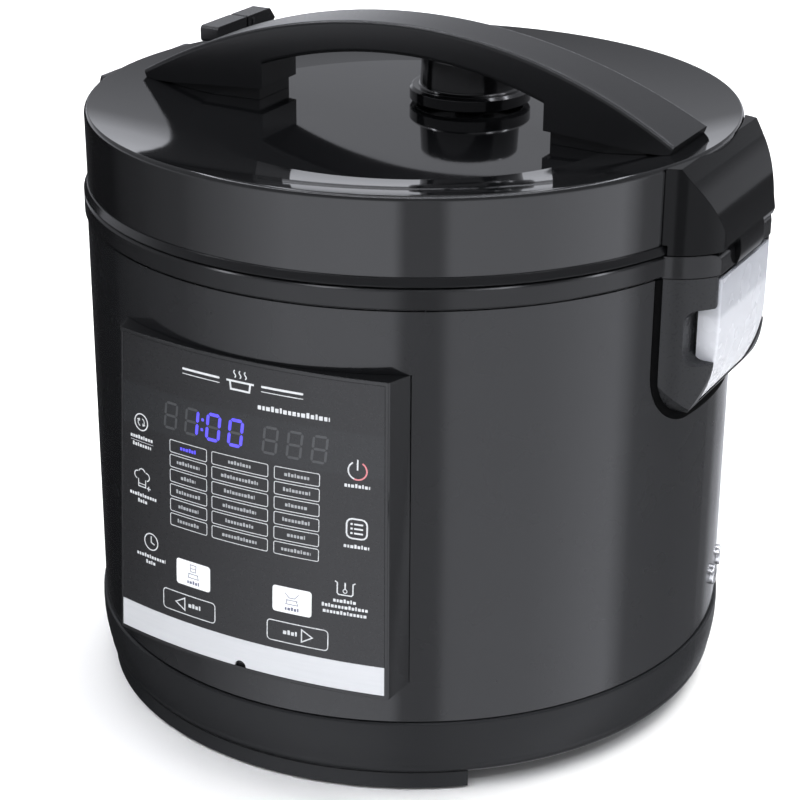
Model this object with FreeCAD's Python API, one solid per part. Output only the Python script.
"""Electric pressure cooker: a round body with a hinged lid, a touch panel and a condensate cup.

Millimetres. The working axes have their origin on the pot's axis at floor level. The panel
faces -Y, the hinge is at +X, the latch is at -X and +Z is up. save() moves each piece so that
the origin of the finished frame lies under the middle of the whole machine.
"""
import FreeCAD, Part

import math
import os

V = FreeCAD.Vector
UP = V(0, 0, 1)

# Driving dimensions
RADIUS = 140.0            # lid and collar where they meet
SEAM_Z = 220.0            # top of the body
LID_GAP = 0.4             # between the closed lid and the body
BASE_Z = 34.0             # joint of the shell and the base
SKIRT_Z = 7.2             # underside of the base between the feet
POT_RADIUS = 104.0        # inside of the pot
PANEL_HALF = 63.7         # half the width of the control panel's front at its foot
PANEL_BASE = 64.5         # half the panel's width where it meets the shell
PANEL_LOW, PANEL_HIGH = 52.6, 185.4
PANEL_FRONT = 147.0       # how far the foot of the panel's middle stands out from the axis
PANEL_ARC = 266.0         # radius of the panel's curved front
PANEL_LEAN = 6.0          # how far the panel's top stands back from its foot
PANEL_NARROW = 3.0        # how much narrower the top is on each side
PIN_X, PIN_Z = 147.5, 216.5   # axis of the lid's hinge, parallel to Y
PIN_R = 1.75
HINGE_OUT = 153.2         # outermost point of the hinge cover
POD_HALF = 43.8           # half the width of the hinge cover at the body
POD_FACE_HALF = 28.0      # half the width of its outer face
LATCH_OUT = 144.2         # outermost point of the latch cover
INLET_OUT = 141.4         # outermost point of the power inlet
LOOSE = 0.3               # gap between pieces that move past each other

# Worked out from them
SHELL_R = RADIUS - 1.0
SHELL_T = 1.0
COLLAR_Z = SEAM_Z - 9.0
LID_Z = SEAM_Z + LID_GAP
DECK_Z = SEAM_Z + 0.2 * RADIUS          # flat middle of the lid
DECK_R = 0.665 * RADIUS
RIM_Z = SEAM_Z + 0.254 * RADIUS         # top edge of the lid
RIM_R = 0.98 * RADIUS
LID_R = 0.989 * RADIUS
MIDDLE = V((HINGE_OUT - LATCH_OUT) / 2, (INLET_OUT - PANEL_FRONT) / 2, 0)


# Helpers ------------------------------------------------------------------------------------

def save(node, *solids):
    """Write the solids of one sub-part, in the finished frame."""
    shape = solids[0] if len(solids) == 1 else Part.makeCompound(list(solids))
    shape = shape.copy()
    shape.translate(-MIDDLE)
    shape.exportStep("parts/" + node + ".step")


def box(x0, x1, y0, y1, z0, z1):
    return Part.makeBox(x1 - x0, y1 - y0, z1 - z0, V(x0, y0, z0))


def rod(radius, start, end):
    """A round bar from one point to another."""
    start, end = V(*start), V(*end)
    return Part.makeCylinder(radius, (end - start).Length, start, end - start)


def disc(radius, z0, z1, x=0.0, y=0.0):
    return rod(radius, (x, y, z0), (x, y, z1))


def ring(outer, inner, z0, z1, x=0.0, y=0.0):
    return disc(outer, z0, z1, x, y).cut(disc(inner, z0 - 1, z1 + 1, x, y))


def outline(steps, place):
    """A closed face. A step is a point, or a pair of points: the middle and the end of an arc."""
    points = [place(*step) if not isinstance(step[0], tuple) else step for step in steps]
    edges = []
    here = points[0]
    for step in points[1:] + points[:1]:
        if isinstance(step, tuple):
            middle, end = place(*step[0]), place(*step[1])
            edges.append(Part.Arc(here, middle, end).toShape())
            here = end
        elif (step - here).Length > 1e-6:
            edges.append(Part.LineSegment(here, step).toShape())
            here = step
    return Part.Face(Part.Wire(edges))


def turned(steps, sweep=360.0, start=0.0):
    """A profile of (radius, z) steps turned about the Z axis."""
    solid = outline(steps, lambda r, z: V(r, 0, z)).revolve(V(0, 0, 0), UP, sweep)
    solid.rotate(V(0, 0, 0), UP, start)
    return solid


def across(steps, y0, y1):
    """A profile of (x, z) steps drawn out along Y."""
    return outline(steps, lambda x, z: V(x, y0, z)).extrude(V(0, y1 - y0, 0))


def along(steps, x0, x1):
    """A profile of (y, z) steps drawn out along X."""
    return outline(steps, lambda y, z: V(x0, y, z)).extrude(V(x1 - x0, 0, 0))


def upward(steps, z0, z1):
    """A profile of (x, y) steps drawn out along Z."""
    return outline(steps, lambda x, y: V(x, y, z0)).extrude(V(0, 0, z1 - z0))


def polar(azimuth, radius):
    """The point at a bearing in degrees, from the panel's side towards the hinge."""
    angle = math.radians(azimuth)
    return radius * math.sin(angle), -radius * math.cos(angle)


def turn(shape, degrees, at=(0, 0, 0), axis=UP):
    shape = shape.copy()
    shape.rotate(V(*at), axis, degrees)
    return shape


def softened(solid, radius, wanted):
    """The solid with the edges that the test picks rounded."""
    return solid.makeFillet(radius, [edge for edge in solid.Edges if wanted(edge)])


def screw(x, y, head_z, length, head_r=3.4, shank_r=1.6, down=-1):
    """A pan-head screw with a cross recess. Its shank points down, or up when down is 1."""
    head = disc(head_r, head_z - 1.8, head_z, x, y)
    head = softened(head, 0.7, lambda e: e.BoundBox.ZMin > head_z - 0.01)
    arm, half = head_r * 0.62, 0.45
    slots = box(x - arm, x + arm, y - half, y + half, head_z - 1.0, head_z + 1)
    slots = slots.fuse(box(x - half, x + half, y - arm, y + arm, head_z - 1.0, head_z + 1))
    body = head.cut(slots).fuse(disc(shank_r, head_z - 1.8 - length, head_z - 1.8, x, y))
    return turn(body, 180, (x, y, head_z), V(1, 0, 0)) if down > 0 else body


# Base ---------------------------------------------------------------------------------------

FEET = ((-7.0, 90.0), (131.0, 46.0), (229.0, 46.0))     # middle and span, as bearings, of each foot
FOOT_IN, FOOT_OUT = 108.0, 136.0
CELLS = (-7.0, 127.0, 233.0)    # bearings of the load cells
CELL_RADIUS = 114.0
POSTS = (73.0, 187.0, 287.0)    # bearings of the base's screw posts
POST_RADIUS = 122.0
PAD_Z = 1.2
FLOOR_Z = SKIRT_Z + 2.4         # top of the base's floor


def foot_sector(bearing, inner, outer, span, z0, z1):
    start = bearing - span / 2 - 90
    return turned([(inner, z0), (outer, z0), (outer, z1), (inner, z1)], span, start)


def base_pan():
    skirt = RADIUS + 0.2
    profile = [
        (0, SKIRT_Z), (132, SKIRT_Z), ((136.6, SKIRT_Z + 1.8), (138.2, SKIRT_Z + 6)),
        ((139.9, 22), (skirt, BASE_Z - 0.8)), (skirt - 0.6, BASE_Z), (137.7, BASE_Z),
        (137.7, BASE_Z + 5), (135.6, BASE_Z + 5), (135.6, BASE_Z - 2),
        ((134.9, 20), (132, FLOOR_Z)), (0, FLOOR_Z),
    ]
    pan = turned(profile)
    for bearing, span in FEET:
        pan = pan.fuse(foot_sector(bearing, FOOT_IN, FOOT_OUT, span, PAD_Z, SKIRT_Z + 1))
    for bearing in POSTS:
        post = polar(bearing, POST_RADIUS)
        pan = pan.fuse(disc(4.5, FLOOR_Z - 1, FLOOR_Z + 13, *post)).cut(disc(1.9, 0, BASE_Z, *post))
    for step in range(-3, 4):
        slot = box(step * 12 - 2, step * 12 + 2, -30, 30, 0, FLOOR_Z + 1)
        pan = pan.cut(slot)
    for x, y in BOARD_CORNERS:
        pan = pan.fuse(disc(3.5, FLOOR_Z - 1, BOARD_Z, x, y))
    return pan


BOARD_Z = 18.0
BOARD_X0, BOARD_X1, BOARD_Y0, BOARD_Y1 = -62.0, 62.0, 34.0, 104.0
BOARD_CORNERS = [(x, y) for x in (-56, 56) for y in (40, 88)]


def foot_pads():
    return [foot_sector(b, FOOT_IN + 4, FOOT_OUT - 4, span - 6, 0, PAD_Z) for b, span in FEET]


def load_cells():
    """The three bars under the built-in scale: each has a hole that lets it bend."""
    cells = []
    for bearing in CELLS:
        bar = box(-30, 30, -6.2, 6.2, FLOOR_Z, FLOOR_Z + 12)
        waist = rod(4.2, (-5, -10, FLOOR_Z + 6), (-5, 10, FLOOR_Z + 6))
        waist = waist.fuse(rod(4.2, (5, -10, FLOOR_Z + 6), (5, 10, FLOOR_Z + 6)))
        bar = bar.cut(waist)
        x, y = polar(bearing, CELL_RADIUS)
        bar.rotate(V(0, 0, 0), UP, bearing)
        bar.translate(V(x, y, 0))
        cells.append(bar)
    return cells


def base_screws():
    """Three screws that hold the base to the shell, put in from below."""
    places = [polar(bearing, POST_RADIUS) for bearing in POSTS]
    return [screw(x, y, SKIRT_Z - 1.8, 14, 3.4, 1.8, down=1) for x, y in places]


# Body ---------------------------------------------------------------------------------------

SHELL_SCREWS = (100.5, 108.5)   # bearings of the two screws low on the hinge side
SHELL_SCREW_Z = 52.0
INLET_Z = 56.0
INLET_HALF_W, INLET_HALF_H = 14.0, 10.5


def outer_shell():
    tube = ring(SHELL_R, SHELL_R - SHELL_T, BASE_Z + 0.4, COLLAR_Z - 0.2)
    window = box(-PANEL_BASE - 0.1, PANEL_BASE + 0.1, -150, 0, PANEL_LOW - 0.1, PANEL_HIGH + 0.1)
    inlet = box(-INLET_HALF_W + 1.5, INLET_HALF_W - 1.5, 100, 150, INLET_Z - 9, INLET_Z + 9)
    tube = tube.cut(window).cut(inlet)
    for bearing in SHELL_SCREWS:
        x, y = polar(bearing, 130)
        far_x, far_y = polar(bearing, 150)
        tube = tube.cut(rod(2.0, (x, y, SHELL_SCREW_Z), (far_x, far_y, SHELL_SCREW_Z)))
    return tube


def pod_plan(inset, z0, z1):
    """The hinge side's outline seen from above: wide at the body, narrower at its outer face."""
    face = HINGE_OUT + 4
    half, face_half = POD_HALF - inset, POD_FACE_HALF - inset
    slope = [(100, -half), (131.5, -half), ((143.2, -half + 5.6), (151.5, -face_half))]
    other = [(151.5, face_half), ((143.2, half - 5.6), (131.5, half)), (100, half)]
    return upward(slope + [(face, -face_half), (face, face_half)] + other, z0, z1)


KNUCKLE_HALF = 13.7
NOTCH_HALF = KNUCKLE_HALF + 0.4
BULGE_X = 151.0


def collar_bulge():
    """The collar's widening under the hinge cover, with a round top edge about the hinge pin."""
    edge = BULGE_X - PIN_X
    low = COLLAR_Z
    profile = [
        (125, low), (BULGE_X, low), (BULGE_X, PIN_Z),
        ((PIN_X + edge * 0.7071, PIN_Z + edge * 0.7071), (PIN_X, SEAM_Z)), (125, SEAM_Z),
    ]
    bulge = across(profile, -POD_HALF, POD_HALF).common(pod_plan(0, low, SEAM_Z + 1))
    return bulge.cut(disc(RADIUS - 3, low - 1, SEAM_Z + 1))


def knuckle_room():
    """The space that the lid's knuckle turns in."""
    room = rod(8.1, (PIN_X, -NOTCH_HALF, PIN_Z), (PIN_X, NOTCH_HALF, PIN_Z))
    return room.fuse(box(PIN_X - 1, 160, -NOTCH_HALF, NOTCH_HALF, COLLAR_Z - 3, SEAM_Z + 2))


def top_collar():
    low = COLLAR_Z
    profile = [
        (RADIUS - 1.2, low), (RADIUS, low + 1.2), (RADIUS, SEAM_Z - 0.9), (RADIUS - 0.9, SEAM_Z),
        (124, SEAM_Z), ((122.9, SEAM_Z - 1.2), (122.5, SEAM_Z - 3.5)), (109, SEAM_Z - 3.5),
        (109, SEAM_Z - 6.5), (CHAMBER_R + 0.4, SEAM_Z - 6.5),
        (CHAMBER_R + 0.4, SEAM_Z - 17), (CHAMBER_R + 2.9, SEAM_Z - 17),
        (CHAMBER_R + 2.9, SEAM_Z - 6.5), (123.5, SEAM_Z - 3), (135.3, SEAM_Z - 3), (135.3, SEAM_Z - 18),
        (137.7, SEAM_Z - 18), (137.7, low),
    ]
    collar = turned(profile).fuse(collar_bulge())
    collar = collar.cut(knuckle_room())
    collar = collar.cut(rod(PIN_R + 0.01, (PIN_X, -24, PIN_Z), (PIN_X, 24, PIN_Z)))
    slot = box(-137.2, -127.5, -8.5, 8.5, SEAM_Z - 20, SEAM_Z + 1)
    return collar.cut(slot).removeSplitter()


CHAMBER_R = 112.0
CHAMBER_LOW = 48.0


def inner_chamber():
    """The steel well that the pot stands in, with a hole for the temperature sensor."""
    top, thick, bend = SEAM_Z - 7, 0.8, 9.0
    low, inside = CHAMBER_LOW, CHAMBER_R - 0.8
    mid, mid_in = bend * 0.293, bend * 0.293 + thick * 0.707
    profile = [
        (14, low), (CHAMBER_R - bend, low), ((CHAMBER_R - mid, low + mid), (CHAMBER_R, low + bend)),
        (CHAMBER_R, top), (inside, top), (inside, low + bend),
        ((CHAMBER_R - mid_in, low + mid_in), (CHAMBER_R - bend, low + thick)), (14, low + thick),
    ]
    return turned(profile)


POT_FLOOR_Z = 74.0
POT_WALL = 1.6


def inner_pot():
    """The cooking pot: a rolled flange on the collar, straight walls and a crowned floor."""
    outer = POT_RADIUS + POT_WALL
    seat = SEAM_Z - 3.5
    low = POT_FLOOR_Z
    profile = [
        (0, low + 1.2), (10, low + 1.2), ((47, low + 0.9), (84, low)), ((99.4, low + 6.3), (outer, low + 22)),
        (outer, seat), (118.5, seat), ((119.3, seat + 0.8), (118.5, seat + POT_WALL)),
        (POT_RADIUS + 1.4, seat + POT_WALL), ((POT_RADIUS + 0.3, seat + 1), (POT_RADIUS, seat - 1)),
        (POT_RADIUS, low + 22), ((98.2, low + 7.4), (84, low + POT_WALL)),
        ((47, low + POT_WALL + 0.9), (10, low + POT_WALL + 1.2)), (0, low + POT_WALL + 1.2),
    ]
    return turned(profile)


HEATER_R = 86.0
HEATER_LOW = 62.0


def heater_plate():
    """The cast plate under the pot, whose top follows the pot's crowned floor."""
    top = POT_FLOOR_Z - 0.2
    profile = [
        (13, HEATER_LOW), (HEATER_R - 1.5, HEATER_LOW), (HEATER_R, HEATER_LOW + 1.5),
        (HEATER_R, top - 1.5), (HEATER_R - 2.5, top), ((45, top + 0.9), (13, top + 1.1)),
    ]
    plate = turned(profile)
    groove = Part.makeTorus(ELEMENT_R, 4.05, V(0, 0, HEATER_LOW), UP)
    return plate.cut(groove)


ELEMENT_R = 60.0


def heating_element():
    """A tubular ring let half into the plate's underside, with two terminals."""
    low, tube = HEATER_LOW, 4.0
    coil = turned([(ELEMENT_R - tube, low), ((ELEMENT_R, low + tube), (ELEMENT_R + tube, low)),
                   ((ELEMENT_R, low - tube), (ELEMENT_R - tube, low))], 340)
    ends = []
    for angle in (0, 340):
        x = ELEMENT_R * math.cos(math.radians(angle))
        y = ELEMENT_R * math.sin(math.radians(angle))
        ends.append(rod(4.0, (x, y, HEATER_LOW - 9), (x, y, HEATER_LOW)))
        ends.append(rod(1.5, (x, y, HEATER_LOW - 13), (x, y, HEATER_LOW - 9)))
    return coil.fuse(ends)


def heater_standoffs():
    legs = []
    for bearing in (30, 150, 270):
        x, y = polar(bearing, 77)
        legs.append(disc(4.5, CHAMBER_LOW + 0.8, HEATER_LOW, x, y).cut(disc(1.6, 40, 70, x, y)))
    return legs


SENSOR_TOP = POT_FLOOR_Z + 0.8


def temperature_sensor():
    """The sprung cap that presses on the pot's floor, and its stem."""
    cap = disc(11.0, SENSOR_TOP - 9, SENSOR_TOP).cut(disc(9.6, SENSOR_TOP - 10, SENSOR_TOP - 1.4))
    cap = softened(cap, 1.0, lambda e: e.BoundBox.ZMin > SENSOR_TOP - 0.01)
    return cap.fuse(disc(3.5, 40, SENSOR_TOP - 1))


def sensor_guide():
    """A cross-piece under the well with a tube that the sensor's stem slides in."""
    tube = ring(6.0, 3.55, 42, 56)
    arms = box(-20, 20, -5, 5, CHAMBER_LOW - 2, CHAMBER_LOW).cut(disc(5, 40, 60))
    return tube.fuse(arms)


def helix(radius, wire, z0, z1, turns):
    """A coil spring about the Z axis."""
    height = z1 - z0 - 2 * wire
    path = Part.Wire(Part.makeHelix(height / turns, height, radius).Edges)
    section = Part.Wire(Part.Circle(V(radius, 0, 0), V(0, 1, 0), wire).toShape())
    coil = path.makePipeShell([section], True, True)
    coil.translate(V(0, 0, z0 + wire))
    return coil


SPRING_LOW, SPRING_HIGH = 56.0, SENSOR_TOP - 1.4


def sensor_spring():
    return helix(5.6, 0.5, SPRING_LOW, SPRING_HIGH, 5)


def thermal_fuse():
    """The over-temperature fuse in a clip on the heating plate."""
    body = rod(2.2, (20, -38, HEATER_LOW - 2.6), (20, -20, HEATER_LOW - 2.6))
    leads = rod(0.5, (20, -44, HEATER_LOW - 2.6), (20, -14, HEATER_LOW - 2.6))
    strap = box(16.5, 23.5, -32, -26, HEATER_LOW - 6, HEATER_LOW)
    return body.fuse(leads).fuse(strap)


def power_board():
    board = box(BOARD_X0, BOARD_X1, BOARD_Y0, BOARD_Y1 - 10, BOARD_Z, BOARD_Z + 1.6)
    for x, y in BOARD_CORNERS:
        board = board.cut(disc(1.5, BOARD_Z - 1, BOARD_Z + 3, x, y))
    return board


def power_board_parts():
    """Transformer, relay, mains capacitor, line fuse and the terminal block."""
    top = BOARD_Z + 1.6
    transformer = box(-48, -20, 44, 68, top, top + 20)
    relay = box(-12, 7, 46, 62, top, top + 15)
    capacitor = disc(6, top, top + 18, 20, 54)
    choke = ring(10, 4, top, top + 9, 40, 54)
    line_fuse = rod(2.6, (-12, 76, top + 2.6), (10, 76, top + 2.6))
    terminals = box(22, 50, 74, 84, top, top + 12)
    return [transformer, relay, capacitor, choke, line_fuse, terminals]


def power_inlet():
    """The mains socket at the back: a flange outside the shell and a blind pocket."""
    w, h = INLET_HALF_W, INLET_HALF_H
    flange = box(-w, w, SHELL_R - 6, INLET_OUT, INLET_Z - h, INLET_Z + h)
    flange = softened(flange, 3.0, lambda e: abs(e.tangentAt(e.FirstParameter).y) > 0.9)
    flange = flange.cut(disc(SHELL_R + 0.02, 0, 100))
    tub = box(-w + 1.7, w - 1.7, 118, SHELL_R, INLET_Z - 8.6, INLET_Z + 8.6)
    pocket = box(-11, 11, 120.5, INLET_OUT + 1, INLET_Z - 7.2, INLET_Z + 7.2)
    pocket = softened(pocket, 1.2, lambda e: abs(e.tangentAt(e.FirstParameter).y) > 0.9)
    return flange.fuse(tub).cut(pocket).cut(Part.makeCompound(inlet_pins()))


PIN_PLACES = ((-7, INLET_Z - 1.6), (7, INLET_Z - 1.6), (0, INLET_Z + 2.4))


def inlet_pins(y1=135.5):
    """The three flat contacts of the mains socket."""
    pins = []
    for x, z in PIN_PLACES:
        pins.append(box(x - 1, x + 1, 115.4, y1, z - 2, z + 2))
    return pins


def shell_screws():
    """Two screws in the shell's side, beside each other."""
    found = []
    for bearing in SHELL_SCREWS:
        piece = screw(0, 0, 1.8, 10, 4.6, 1.8)
        piece.rotate(V(0, 0, 0), V(1, 0, 0), 90)
        piece.translate(V(0, -SHELL_R, SHELL_SCREW_Z))
        piece.rotate(V(0, 0, 0), UP, bearing)
        found.append(piece)
    return found


# Control panel ------------------------------------------------------------------------------

BEZEL = 1.5
FILM_T = 1.2
POCKET_DEPTH = 1.4              # of the film's recess, under the front surface
PANEL_WALL = 2.6
PANEL_REAR = -118.0
STRIP_HIGH = 66.4
DISPLAY_LOW, DISPLAY_HIGH = 146.0, 163.6
DISPLAY_HALF = 42.0
BOARD_BACK = -125.0             # rear face of the control board


def panel_front(z, back, margin):
    """The three points of the front's arc at a height: left edge, middle and right edge."""
    share = (z - PANEL_LOW) / (PANEL_HIGH - PANEL_LOW)
    half = PANEL_HALF - PANEL_NARROW * share - margin
    centre = PANEL_ARC - PANEL_FRONT + PANEL_LEAN * share
    radius = PANEL_ARC - back
    edge = centre - math.sqrt(radius ** 2 - half ** 2)
    return (-half, edge), (0, centre - radius), (half, edge)


def lofted(section, z0, z1):
    """A solid between two sections. A section is a list of steps for its height."""
    wires = [outline(section(z), lambda x, y, z=z: V(x, y, z)).OuterWire for z in (z0, z1)]
    return Part.makeLoft(wires, True, True)


def panel_sheet(back, depth, margin, z0, z1):
    """A layer that follows the panel's front: it starts `back` behind it and is `depth` thick."""
    def section(z):
        left, middle, right = panel_front(z, back, margin)
        far_left, far_middle, far_right = panel_front(z, back + depth, margin)
        return [left, (middle, right), far_right, (far_middle, far_left)]
    return lofted(section, z0, z1)


def panel_block(back, margin, z0, z1):
    """The panel's form from its front back into the shell."""
    def section(z):
        left, middle, right = panel_front(z, back, margin)
        base = PANEL_BASE - margin
        return [left, (middle, right), (base, -122), (base, PANEL_REAR), (-base, PANEL_REAR), (-base, -122)]
    return lofted(section, z0, z1)


def panel_housing():
    """The box that stands out from the shell, with a recess for the front film."""
    case = panel_block(0, 0, PANEL_LOW, PANEL_HIGH)
    front = [e for e in case.Edges if e.BoundBox.ZLength > 100 and e.BoundBox.YMax < -130]
    case = case.makeFillet(1.0, front)
    film = panel_sheet(-5, 5 + POCKET_DEPTH, BEZEL, PANEL_LOW + BEZEL, PANEL_HIGH - BEZEL)
    low, high = PANEL_LOW + PANEL_WALL, PANEL_HIGH - PANEL_WALL
    room = panel_block(POCKET_DEPTH + 2.2, PANEL_WALL, low, high)
    room = room.fuse(box(-PANEL_BASE + PANEL_WALL, PANEL_BASE - PANEL_WALL, -119, -110, low, high))
    window = box(-DISPLAY_HALF - 1, DISPLAY_HALF + 1, -160, -120, DISPLAY_LOW - 1, DISPLAY_HIGH + 1)
    return case.cut(film).cut(room).cut(window)


def panel_overlay():
    """The glossy touch film over the display and the keys."""
    return panel_sheet(0.1, FILM_T, BEZEL + 0.1, STRIP_HIGH, PANEL_HIGH - BEZEL - 0.1)


def panel_strip():
    """The bright strip along the panel's foot, with a small round notch in its lower edge."""
    low = PANEL_LOW + BEZEL + 0.1
    strip = panel_sheet(0.0, FILM_T + 0.1, BEZEL + 0.1, low, STRIP_HIGH)
    notch = rod(2.6, (0, -160, low), (0, -120, low))
    return strip.cut(notch)


def control_board():
    board = box(-54, 54, BOARD_BACK - 1.6, BOARD_BACK, PANEL_LOW + 10, PANEL_HIGH - 8)
    for x in (-50, 50):
        for z in (PANEL_LOW + 14, PANEL_HIGH - 12):
            board = board.cut(rod(1.5, (x, -130, z), (x, -120, z)))
    return board


def display_module():
    """The two-group digit display behind the film."""
    return box(-DISPLAY_HALF, DISPLAY_HALF, -136.8, BOARD_BACK - 1.6, DISPLAY_LOW, DISPLAY_HIGH)


def buzzer():
    case = rod(6.0, (38, BOARD_BACK - 1.6, 100), (38, -134.6, 100))
    return case.cut(rod(1.0, (38, -136, 100), (38, -132, 100)))


def ribbon_cable():
    """The flat cable from the control board down to the power board."""
    thick, back, under, down = 0.8, -116.6, 41.4, 42.0
    profile = [
        (-125, 70), (back, 70), (back, under + 2.6), ((back + 0.8, under + 0.8), (back + 2.6, under)),
        (down - 2, under), ((down - 0.6, under - 0.6), (down, under - 2)), (down, BOARD_Z + 1.6),
        (down + thick, BOARD_Z + 1.6), (down + thick, under - 2),
        ((down + 0.1, under + 0.1), (down - 2, under + thick)), (back + 2.6, under + thick),
        ((back + 1.4, under + 1.4), (back + thick, under + 2.6)), (back + thick, 70 + thick),
        (-125, 70 + thick),
    ]
    return along(profile, -36, -24)


def mains_wires():
    """Two wires from the inlet's pins to the terminal block."""
    wires = []
    for x, far in ((-7, 28), (7, 44)):
        points = [V(x, 116.7, INLET_Z - 3.6), V(x, 116.7, 38), V(far, 79, 38), V(far, 79, BOARD_Z + 13.6)]
        wires.append(bent_wire(points, 1.2, 6.0))
    return wires


def bent_wire(points, radius, bend):
    """A round wire along straight runs joined by tangent arcs."""
    edges = []
    here = points[0]
    for before, corner, after in zip(points, points[1:], points[2:]):
        a, b = (before - corner).normalize(), (after - corner).normalize()
        half_angle = a.getAngle(b) / 2
        back = bend / math.tan(half_angle)
        start, end = corner + a * back, corner + b * back
        middle = (a + b).normalize()
        centre = corner + middle * (bend / math.sin(half_angle))
        edges.append(Part.LineSegment(here, start).toShape())
        edges.append(Part.Arc(start, centre - middle * bend, end).toShape())
        here = end
    edges.append(Part.LineSegment(here, points[-1]).toShape())
    path = Part.Wire(edges)
    section = Part.Wire(Part.Circle(points[0], points[1] - points[0], radius).toShape())
    return path.makePipeShell([section], True, True)


# Hinge side of the body ---------------------------------------------------------------------

CATCH_X = -134.0
CATCH_LOW = SEAM_Z - 8.8
BRACKET_LOW = SEAM_Z - 0.505 * RADIUS
CUP_HALF = POD_FACE_HALF - 0.2
CUP_IN, CUP_OUT = 142.2, 151.2
CUP_LOW, CUP_HIGH = 155.0, COLLAR_Z - 2.4
NOTCH_LOW, NOTCH_HIGH = SEAM_Z - 0.33 * RADIUS, SEAM_Z - 0.162 * RADIUS


def cup_outline(out, z_high, grow=0.0):
    """The cup's side profile: a flat face that curves in to the body at its foot."""
    low = CUP_LOW - grow
    return [
        (CUP_IN - grow, low), (CUP_IN + 1 + grow, low),
        ((out - 3.2, 165.5), (out, 184)), (out, z_high), (CUP_IN - grow, z_high),
    ]


def bracket_plan(inset, z0, z1):
    """The bracket seen from above, a little smaller than the collar's widening over it."""
    return pod_plan(inset, z0, z1).common(box(100, 150.4 - inset, -60, 60, z0, z1))


def hinge_bracket():
    """The body's fixed pod under the hinge: it holds the cup, with a finger notch on each side."""
    top = COLLAR_Z - 0.3
    pod = bracket_plan(0.4, BRACKET_LOW, top)
    corner = 22.0
    low = BRACKET_LOW
    face = [
        (-60, low + corner), (-POD_HALF, low + corner),
        ((-POD_HALF + 0.29 * corner, low + 0.29 * corner), (-POD_HALF + corner, low)),
        (POD_HALF - corner, low),
        ((POD_HALF - 0.29 * corner, low + 0.29 * corner), (POD_HALF, low + corner)),
        (60, low + corner), (60, top), (-60, top),
    ]
    pod = pod.common(along(face, 100, 160))
    taper = across([(100, low - 1), (138.6, low - 1), ((146.5, 160), (150.4, 178)), (150.4, top + 1),
                    (100, top + 1)], -60, 60)
    pod = pod.common(taper).cut(disc(SHELL_R + 0.05, 0, 300))
    room = across(cup_outline(160, top + 1, LOOSE + 0.1), -CUP_HALF - LOOSE, CUP_HALF + LOOSE)
    pod = pod.cut(room).cut(knuckle_room())
    for side in (-1, 1):
        y0, y1 = sorted((side * (CUP_HALF - 2), side * 60))
        grip = box(CUP_IN - 1.5, 170, y0, y1, NOTCH_LOW, NOTCH_HIGH)
        grip = softened(grip, 5.0, lambda e: abs(e.tangentAt(e.FirstParameter).y) > 0.9
                        and e.BoundBox.XMax < CUP_IN)
        pod = pod.cut(grip)
    return pod


def condensate_cup():
    """The clear cup that catches water from the lid: open at the top and pulled straight out."""
    wall = 1.5
    body = across(cup_outline(CUP_OUT, CUP_HIGH), -CUP_HALF, CUP_HALF)
    body = softened(body, 1.0, lambda e: abs(e.BoundBox.YLength) < 0.1 and e.BoundBox.XMin > CUP_IN + 2
                    and e.BoundBox.ZLength > 5)
    inner = [
        (CUP_IN + wall, CUP_LOW + 9), ((CUP_OUT - 4.2, 171), (CUP_OUT - wall, 184)),
        (CUP_OUT - wall, CUP_HIGH + 2), (CUP_IN + wall, CUP_HIGH + 2),
    ]
    return body.cut(across(inner, -CUP_HALF + wall, CUP_HALF - wall))


def hinge_pin():
    return rod(PIN_R, (PIN_X, -24, PIN_Z), (PIN_X, 24, PIN_Z))


def hinge_spring():
    """The torsion spring that helps the lid up, wound round the pin inside the knuckle."""
    coil = helix(2.75, 0.4, -6.5, 6.5, 9)
    coil.rotate(V(0, 0, 0), V(1, 0, 0), 90)
    coil.translate(V(PIN_X, 0, PIN_Z))
    return coil


def latch_catch():
    """The steel strike in the collar's slot, which the latch hook slides under."""
    return box(-137.1, CATCH_X, -8.3, 8.3, CATCH_LOW, CATCH_LOW + 4.8)


# Lid ----------------------------------------------------------------------------------------

RING_TOP = SEAM_Z + 0.03 * RADIUS
LID_WALL = 2.2
VALVE_X, VALVE_Y = 0.08 * RADIUS, 0.22 * RADIUS
FLOAT_Y = VALVE_Y + 17.0


def lid_dome(drop=0.0):
    """The lid's outer form as a solid: a flat deck, a rising dish and a bevelled rim."""
    rim, deck = RIM_Z - drop, DECK_Z - drop
    profile = [
        (0, RING_TOP), (LID_R - drop - 0.1, RING_TOP), (LID_R - drop, RIM_Z - 2.6),
        ((LID_R - drop - 0.55, rim - 0.7), (RIM_R - drop, rim)),
        ((0.83 * RADIUS, deck + 3.0), (DECK_R, deck)), (0, deck),
    ]
    return turned(profile)


def lid_cover():
    """The glossy outer shell of the lid."""
    shell = lid_dome().cut(lid_dome(LID_WALL))
    shell = shell.cut(disc(12.3, RING_TOP, 300, VALVE_X, VALVE_Y))
    shell = shell.cut(disc(2.8, RING_TOP, 300, VALVE_X, FLOAT_Y))
    for x in (-HANDLE_SCREW_X, HANDLE_SCREW_X):
        shell = shell.cut(disc(1.9, RING_TOP, 300, x, 0))
    tail = box(LEVER_X - 2.2, LEVER_X + 2.2, LEVER_Y - 4.5, LEVER_Y + 4.5, RING_TOP, 300)
    strap = box(130, 150, -12.2, 12.2, LID_Z + 4, LID_Z + 8.8)
    return shell.cut(tail).cut(strap)


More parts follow.
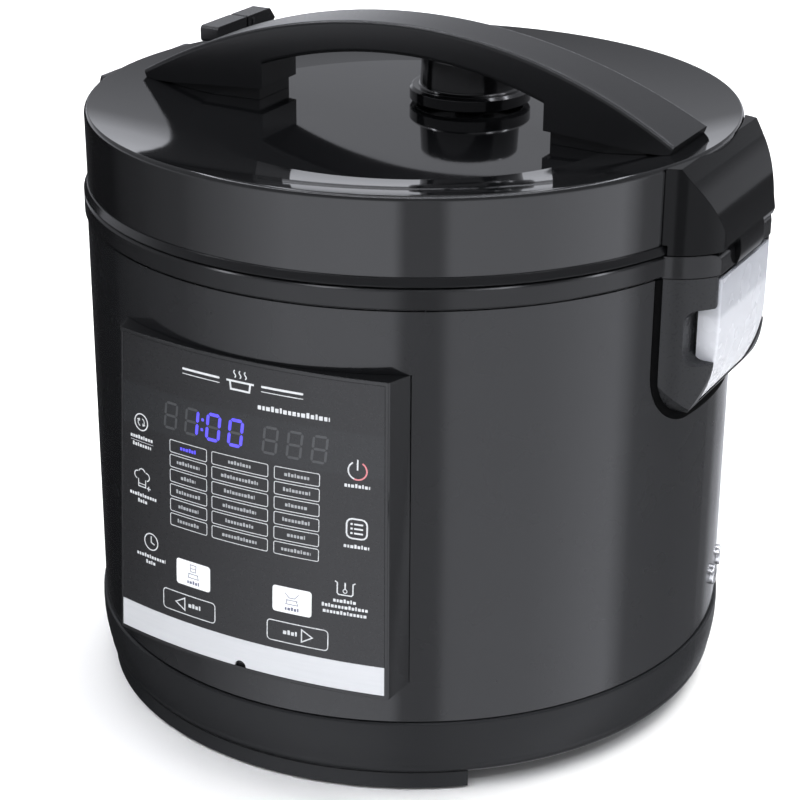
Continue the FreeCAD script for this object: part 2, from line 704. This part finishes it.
def lid_lower_ring():
    """The lid's lower rim and ceiling ring, which carries the seal, the hinge and the latch."""
    z = LID_Z
    profile = [
        (RADIUS - 0.5, z), (RADIUS, z + 0.6), (LID_R + 0.2, RING_TOP - 0.2), (LID_R - 0.4, RING_TOP),
        (LID_R - LID_WALL - 0.4, RING_TOP), (LID_R - LID_WALL - 0.4, z + 12),
        (LID_R - LID_WALL - 2.4, z + 12), (LID_R - LID_WALL - 2.4, z + 3), (112.5, z + 3),
        (112.5, z + 18), (110, z + 18), (110, z),
    ]
    ceiling = disc(111, z + 15.6, z + 18)
    body = turned(profile).fuse(ceiling)
    body = body.cut(disc(6.4, z, z + 30, VALVE_X, VALVE_Y))
    body = body.cut(disc(2.8, z, z + 30, VALVE_X, FLOAT_Y))
    hook = box(-134.2, -112, -HOOK_HALF - 0.5, HOOK_HALF + 0.5, z - 1, z + 14)
    body = body.cut(hook)
    body = body.cut(box(118, 150, -12.4, 12.4, z + 3, z + 14))
    return body.removeSplitter()


def pod_profile(inset=0.0):
    """The hinge cover's side profile, from the lid's rim out and down to the seam."""
    out = HINGE_OUT - inset
    return [
        (100, LID_Z), (BULGE_X + 0.6 - inset, LID_Z), (out - 0.8, LID_Z + 2.2),
        ((149.0 - inset, 236.5), (141.4 - inset, 249.4)),
        (137.2, RIM_Z - 0.4 - inset), (100, RIM_Z - 0.4 - inset),
    ]


def knuckle_profile():
    """The knuckle round the hinge pin, seen from the side: it hangs over the body's edge."""
    return [
        (PIN_X - 5.2, LID_Z + 4), (PIN_X - 5.2, PIN_Z), ((PIN_X - 3.7, PIN_Z - 3.7), (PIN_X, PIN_Z - 5.6)),
        (HINGE_OUT - 1.2, COLLAR_Z + 0.4), ((HINGE_OUT, PIN_Z - 1), (HINGE_OUT - 0.8, LID_Z + 2.2)),
        (HINGE_OUT - 1.6, LID_Z + 4),
    ]


def hinge_cover():
    """The pod on the lid that covers the hinge, with a knuckle on the pin."""
    pod = across(pod_profile(), -POD_HALF, POD_HALF).common(pod_plan(0, LID_Z, 300))
    hollow = across(pod_profile(3.0), -POD_HALF + 4, POD_HALF - 4)
    hollow = hollow.common(pod_plan(3.0, LID_Z - 1, 300))
    pod = pod.cut(hollow.cut(box(140, 160, -KNUCKLE_HALF, KNUCKLE_HALF, 0, 300)))
    pod = pod.fuse(across(knuckle_profile(), -KNUCKLE_HALF, KNUCKLE_HALF))
    pod = pod.cut(disc(RADIUS + 0.3, 0, LID_Z + 4.0))
    pod = pod.cut(disc(LID_R + 0.02, LID_Z + 3, 300))
    pod = pod.cut(rod(PIN_R + 0.05, (PIN_X, -20, PIN_Z), (PIN_X, 20, PIN_Z)))
    pod = pod.cut(rod(3.6, (PIN_X, -7, PIN_Z), (PIN_X, 7, PIN_Z)))
    pod = pod.cut(box(130, 143.7, -11.9, 11.9, LID_Z + 4.3, LID_Z + 8.5))
    return pod.removeSplitter()


def hinge_arm():
    """The metal strap that ties the hinge cover to the lid's frame."""
    z = LID_Z
    strap = box(118.5, 143.6, -11.8, 11.8, z + 4.4, z + 8.4)
    return strap.cut(disc(1.8, 200, 260, 124, -6)).cut(disc(1.8, 200, 260, 124, 6))


def latch_cover():
    """The small pod on the lid over the latch, opposite the hinge."""
    z = LID_Z
    profile = [
        (-100, z), (-LATCH_OUT + 0.8, z), (-LATCH_OUT, z + 1), (-LATCH_OUT, z + 6),
        ((-LATCH_OUT + 0.6, z + 22), (-RIM_R, RIM_Z - 0.6)), (-100, RIM_Z - 0.6),
    ]
    plan = [(-100, -34), (-136.2, -34), ((-141, -30), (-150, -24)), (-150, 24), ((-141, 30), (-136.2, 34)),
            (-100, 34)]
    pod = across(profile, -34, 34).common(upward(plan, z, 300))
    pod = pod.cut(disc(RADIUS + 0.1, 0, RING_TOP + 0.1))
    return pod.cut(disc(LID_R + 0.02, RING_TOP - 1, 300))


HANDLE_TIP = 124.6
HANDLE_INNER = 66.5
HANDLE_SCREW_X = 88.0
ARCH_R = 250.0
ARCH_TOP = SEAM_Z + 0.494 * RADIUS


def arch_z(x):
    return ARCH_TOP - ARCH_R + math.sqrt(ARCH_R ** 2 - x ** 2)


def handle_plan(inset=0.0):
    """The handle seen from above: waisted in the middle and square at its ends."""
    tip, mid = 18.6 - inset, 12.8 - inset
    end = HANDLE_TIP - inset
    return upward([(-end, -tip), ((0, -mid), (end, -tip)), (end, tip), ((0, mid), (-end, tip))],
                  200, 320)


def handle_grip():
    """The arched grip. Its feet taper to the lid's rim and clear the deck at their inner ends."""
    foot_z = DECK_Z + 5.7
    profile = [
        (-HANDLE_TIP, arch_z(HANDLE_TIP)), ((0, ARCH_TOP), (HANDLE_TIP, arch_z(HANDLE_TIP))),
        (HANDLE_TIP - 1.5, DECK_Z + 4), (112, DECK_Z + 3.5), (HANDLE_INNER, foot_z),
        (HANDLE_INNER, 264.5), ((0, 276), (-HANDLE_INNER, 264.5)), (-HANDLE_INNER, foot_z),
        (-112, DECK_Z + 3.5), (-HANDLE_TIP + 1.5, DECK_Z + 4),
    ]
    grip = across(profile, -20, 20).common(handle_plan())
    grip = grip.cut(lid_dome())
    for x in (-HANDLE_SCREW_X, HANDLE_SCREW_X):
        grip = grip.cut(disc(1.65, DECK_Z, DECK_Z + 12.5, x, 0))
    return softened(grip, 1.6, top_edge_of_handle)


def top_edge_of_handle(edge):
    """The long curved edges along the top, and those along the underside of the arch."""
    size = edge.BoundBox
    return size.XLength > 120 and size.ZLength > 5


def handle_feet():
    """The two inset plinths between the grip and the lid."""
    plinths = []
    for side in (-1, 1):
        profile = [
            (side * (HANDLE_INNER + 2.5), RIM_Z - 25), (side * 112, RIM_Z - 25),
            (side * 112, DECK_Z + 3.4), (side * (HANDLE_INNER + 2.5), DECK_Z + 5.45),
        ]
        plinth = across(profile, -20, 20).common(handle_plan(2.2)).cut(lid_dome())
        plinths.append(plinth.cut(disc(1.7, 200, 300, side * HANDLE_SCREW_X, 0)))
    return plinths


def handle_screws():
    found = []
    for x in (-HANDLE_SCREW_X, HANDLE_SCREW_X):
        found.append(disc(3.4, DECK_Z - 4.2, DECK_Z - LID_WALL, x, 0).fuse(
            disc(1.6, DECK_Z - LID_WALL, DECK_Z + 12, x, 0)))
    return found


def inner_lid_plate():
    """The dished metal plate that closes the pot."""
    profile = [
        (6, 226.5), (60, 226.5), ((84, 225.6), (98, 221.0)), ((101, 220.1), (106.4, 219.9)), (106.4, 221.1),
        ((101.6, 221.3), (98.8, 222.2)), ((84.5, 226.8), (60, 227.7)), (6, 227.7),
    ]
    plate = turned(profile)
    for x, y, r in ((VALVE_X, VALVE_Y, 6.4), (VALVE_X, FLOAT_Y, 2.8)):
        plate = plate.cut(disc(r, 210, 240, x, y))
    return plate


def sealing_ring():
    """The silicone ring between the lid and the pot's flange."""
    low, high = SEAM_Z - 1.3, LID_Z - 0.1
    profile = [
        (104.2, low), (118, low), ((118.7, low + 0.5), (118, high)), (109.7, high),
        (109.7, high + 3.3), (106.6, high + 3.3), (106.6, low + 0.8), (104.2, low + 0.6),
    ]
    return turned(profile)


def inner_lid_nut():
    """The knob that holds the inner plate on the lid."""
    knob = disc(11, 216.5, 226.5).cut(disc(8.5, 216, 222))
    for step in range(6):
        x, y = polar(step * 60, 11.6)
        knob = knob.cut(disc(1.8, 215, 226, x, y))
    return knob.fuse(disc(5.8, 226.5, LID_Z + 15.6))


def valve_body():
    """The steam valve's tube through the lid, with a flange over the deck."""
    tube = disc(6.2, 222, 258, VALVE_X, VALVE_Y)
    flange = disc(12.0, DECK_Z - 2.0, DECK_Z + 1.2, VALVE_X, VALVE_Y)
    return tube.fuse(flange).cut(disc(3.2, 220, 260, VALVE_X, VALVE_Y))


KNOB_R = 0.187 * RADIUS
KNOB_LOW, KNOB_TOP = DECK_Z + 1.6, DECK_Z + 22.0


def valve_knob():
    """The turning cap over the steam valve: a wide flange, a narrower crown and a finger bar."""
    crown_r = KNOB_R - 4.5
    step_z = KNOB_LOW + 6.2
    profile = [
        (0, KNOB_LOW + 4.5), (KNOB_R - 3, KNOB_LOW + 4.5), (KNOB_R - 3, KNOB_LOW), (KNOB_R - 0.6, KNOB_LOW),
        (KNOB_R, KNOB_LOW + 0.6), (KNOB_R, step_z - 1.2), (KNOB_R - 1.2, step_z), (crown_r + 1, step_z),
        ((crown_r + 0.2, step_z + 0.3), (crown_r, step_z + 1.2)), (crown_r - 0.6, KNOB_TOP - 1.6),
        ((crown_r - 1.1, KNOB_TOP - 0.4), (crown_r - 2.2, KNOB_TOP)), (crown_r - 4.5, KNOB_TOP),
        ((crown_r - 8, KNOB_TOP - 1.8), (5, KNOB_TOP - 2.4)), (0, KNOB_TOP - 2.4),
    ]
    knob = turned(profile)
    bar = box(-crown_r + 3.5, crown_r - 3.5, -2.2, 2.2, KNOB_TOP - 4, KNOB_TOP - 0.3)
    knob = knob.fuse(bar)
    for step in range(5):
        slot = box(-1.1, 1.1, crown_r - 5, crown_r + 3, step_z + 3, KNOB_TOP - 5)
        knob = knob.cut(turn(slot, -40 + 20 * step))
    knob = knob.cut(disc(6.5, 0, 260.5))
    knob.translate(V(VALVE_X, VALVE_Y, 0))
    return knob


def float_valve():
    """The pin that rises under pressure, inside the valve knob's skirt."""
    stem = disc(2.3, 217, DECK_Z + 0.6, VALVE_X, FLOAT_Y)
    foot = disc(4.2, 215, 218, VALVE_X, FLOAT_Y)
    return stem.fuse(foot).fuse(disc(3.4, DECK_Z + 0.4, DECK_Z + 1.8, VALVE_X, FLOAT_Y))


def lid_screws():
    """The screws that hold the ceiling ring to the outer shell."""
    found = []
    for step in range(6):
        x, y = polar(step * 60, 126)
        found.append(disc(3.2, LID_Z + 3, LID_Z + 4.8, x, y).fuse(
            disc(1.5, LID_Z + 4.8, LID_Z + 16, x, y)))
    return found


# Lid latch ----------------------------------------------------------------------------------

LEVER_X = -0.82 * RADIUS
LEVER_HALF = 4.6
LEVER_Y = 0.25 * RADIUS         # pivot
LEVER_Z = SEAM_Z + 0.292 * RADIUS
LEVER_TOP = SEAM_Z + 0.345 * RADIUS
LEVER_LOW = LEVER_TOP - 7.2
HOOK_HALF = 6.0
HOOK_LOW = SEAM_Z - 12.5


def lever_bracket():
    """The stand behind the handle that carries the lever's pin between two cheeks."""
    cheeks = []
    for side in (-1, 1):
        x0, x1 = sorted((LEVER_X + side * 1.9, LEVER_X + side * (LEVER_HALF - 1.0)))
        cheek = along([(LEVER_Y - 6, 240), (LEVER_Y + 6, 240), (LEVER_Y + 3.2, LEVER_Z),
                       ((LEVER_Y, LEVER_Z + 3.2), (LEVER_Y - 3.2, LEVER_Z))], x0, x1)
        cheeks.append(cheek)
    foot = box(LEVER_X - 6.5, LEVER_X + 6.5, LEVER_Y - 9, LEVER_Y + 9, 240, DECK_Z + 6)
    foot = foot.cut(box(LEVER_X - 2.2, LEVER_X + 2.2, LEVER_Y - 4.5, LEVER_Y + 4.5, 230, 300))
    stand = foot.fuse(cheeks).cut(lid_dome())
    pin = rod(1.21, (LEVER_X - 10, LEVER_Y, LEVER_Z), (LEVER_X + 10, LEVER_Y, LEVER_Z))
    return stand.cut(pin)


def lever_pin():
    half = LEVER_HALF - 1.0
    return rod(1.2, (LEVER_X - half, LEVER_Y, LEVER_Z), (LEVER_X + half, LEVER_Y, LEVER_Z))


def release_lever():
    """The rocking lever behind the handle, with a tail that works the latch through the lid."""
    front, gap = 0.14 * RADIUS, 0.315 * RADIUS
    arm = along([(front, LEVER_LOW + 1), (front + 1, LEVER_LOW), (gap, LEVER_LOW), (gap, LEVER_TOP),
                 (front + 1.2, LEVER_TOP), (front, LEVER_TOP - 1.2)],
                LEVER_X - LEVER_HALF, LEVER_X + LEVER_HALF)
    for side in (-1, 1):
        x0, x1 = sorted((LEVER_X + side * 1.6, LEVER_X + side * (LEVER_HALF - 0.6)))
        arm = arm.cut(box(x0, x1, LEVER_Y - 8, LEVER_Y + 8, LEVER_LOW - 1, LEVER_Z + 4.2))
    tail = box(LEVER_X - 1.6, LEVER_X + 1.6, LEVER_Y - 2.6, LEVER_Y + 2.6, DECK_Z - 5, LEVER_LOW + 1)
    bridge = box(LEVER_X - 1.4, LEVER_X + 1.4, gap - 0.1, gap + 2.0, LEVER_LOW + 0.8, LEVER_LOW + 3.6)
    body = arm.fuse(tail).fuse(bridge)
    return body.cut(rod(1.25, (LEVER_X - 9, LEVER_Y, LEVER_Z), (LEVER_X + 9, LEVER_Y, LEVER_Z)))


def lever_key():
    """The key at the lever's end: a slanted tip and a small raised mark on its side."""
    start = 0.315 * RADIUS + 1.5
    end = 0.475 * RADIUS
    key = along([(start, LEVER_LOW), (end - 1, LEVER_LOW - 0.6), (end + 3.0, LEVER_LOW + 2.0),
                 (end - 1.6, LEVER_TOP), (start, LEVER_TOP)], LEVER_X - LEVER_HALF, LEVER_X + LEVER_HALF)
    key = key.makeFillet(0.6, [e for e in key.Edges if e.BoundBox.XLength > 5])
    socket = box(LEVER_X - 1.4, LEVER_X + 1.4, start - 1, start + 0.5, LEVER_LOW + 0.8, LEVER_LOW + 3.6)
    mark = box(LEVER_X + LEVER_HALF - 0.2, LEVER_X + LEVER_HALF + 0.3, start + 3.5, start + 4.9,
               LEVER_LOW + 1.8, LEVER_TOP - 1.6)
    return key.cut(socket).fuse(mark)


def latch_hook():
    """The slide inside the lid whose hook goes down through the body's slot."""
    z = LID_Z
    near, far = CATCH_X + 3.4, CATCH_X + 5.4
    plate = box(near, far, -HOOK_HALF, HOOK_HALF, HOOK_LOW, z + 10)
    tip = CATCH_X + 0.4
    barb = across([(tip, HOOK_LOW), (tip, HOOK_LOW + 1.2), (near, HOOK_LOW + 3.4), (near, HOOK_LOW)],
                  -HOOK_HALF, HOOK_HALF)
    slide = box(near, -113.4, -HOOK_HALF, HOOK_HALF, z + 8, z + 10)
    return plate.fuse(barb).fuse(slide)


# Write every sub-part -----------------------------------------------------------------------

def main():
    os.makedirs("parts", exist_ok=True)
    pieces = [
        base_pan, outer_shell, top_collar, inner_chamber, inner_pot, heater_plate, heating_element,
        temperature_sensor, sensor_guide, sensor_spring, thermal_fuse, power_board, power_inlet,
        panel_housing, panel_overlay, panel_strip, control_board, display_module, buzzer,
        ribbon_cable, hinge_bracket, condensate_cup, hinge_pin, hinge_spring, latch_catch,
        lid_cover, lid_lower_ring, hinge_cover, hinge_arm, latch_cover, handle_grip,
        inner_lid_plate, sealing_ring, inner_lid_nut, valve_body, valve_knob, float_valve,
        lever_bracket, lever_pin, release_lever, lever_key, latch_hook,
    ]
    groups = [
        foot_pads, load_cells, base_screws, heater_standoffs, power_board_parts, inlet_pins,
        shell_screws, mains_wires, handle_feet, handle_screws, lid_screws,
    ]
    for piece in pieces:
        save(piece.__name__, piece())
    for group in groups:
        save(group.__name__, *group())


main()
